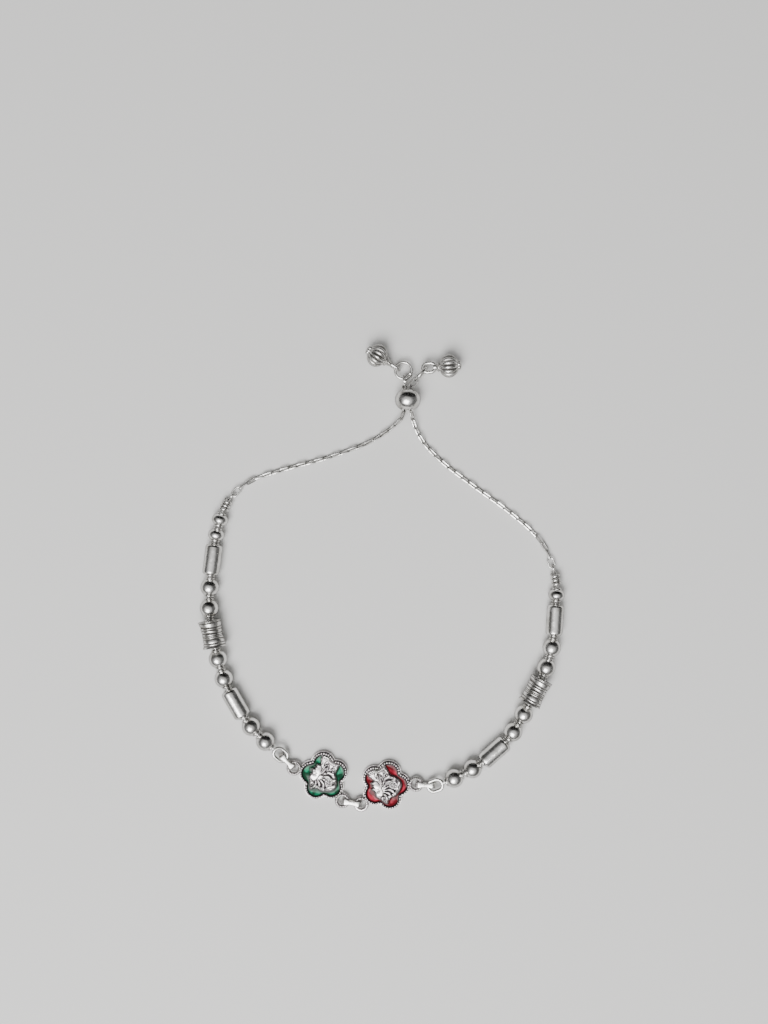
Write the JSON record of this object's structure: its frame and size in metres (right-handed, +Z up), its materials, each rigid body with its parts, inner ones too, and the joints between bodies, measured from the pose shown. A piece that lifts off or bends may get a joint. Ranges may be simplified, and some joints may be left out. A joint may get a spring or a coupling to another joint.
{
  "type": "payal anklet",
  "caption": "Adjustable silver payal anklet of bead strings, enamelled flower charms and fine chains drawn through a slider bead with ribbed drops.",
  "frame": {"origin": "centre of the bounding box on the surface that the anklet lies on", "axes": "+Z up from that surface; +Y along the loop's length, from the flower charms to the tail drops; +X to the right of the loop seen from above"},
  "size_m": [0.0989, 0.1264, 0.007],
  "materials": {
    "silver": "polished silver with fine scratches",
    "brushed_silver": "silver with wire-wound or ribbed relief, brighter on its ridges",
    "oxidised_silver": "cast silver, darkened in its recesses",
    "green_enamel": "glossy translucent green enamel",
    "red_enamel": "glossy translucent red enamel"
  },
  "bodies": {
    "root": {"green_charm": "oxidised_silver", "red_charm": "oxidised_silver", "green_enamel": "green_enamel", "red_enamel": "red_enamel", "left_link": "silver", "middle_link": "silver", "right_link": "silver", "left_string_wire": "silver", "right_string_wire": "silver", "left_end_coil": "silver", "right_end_coil": "silver", "left_round_bead_1": "silver", "left_round_bead_2": "silver", "left_round_bead_3": "silver", "left_round_bead_4": "silver", "left_round_bead_5": "silver", "left_round_bead_6": "silver", "left_tube_bead_1": "silver", "left_tube_bead_2": "silver", "left_spool_bead_1": "brushed_silver", "left_small_bead_1": "silver", "left_small_bead_2": "silver", "right_round_bead_1": "silver", "right_round_bead_2": "silver", "right_round_bead_3": "silver", "right_round_bead_4": "silver", "right_round_bead_5": "silver", "right_round_bead_6": "silver", "right_tube_bead_1": "silver", "right_tube_bead_2": "silver", "right_spool_bead_1": "brushed_silver", "right_small_bead_1": "silver", "left_chain": "silver", "right_chain": "silver", "slider_bead": "silver", "left_jump_ring": "silver", "right_jump_ring": "silver", "left_drop": "brushed_silver", "right_drop": "brushed_silver"}
  },
  "joints": []
}
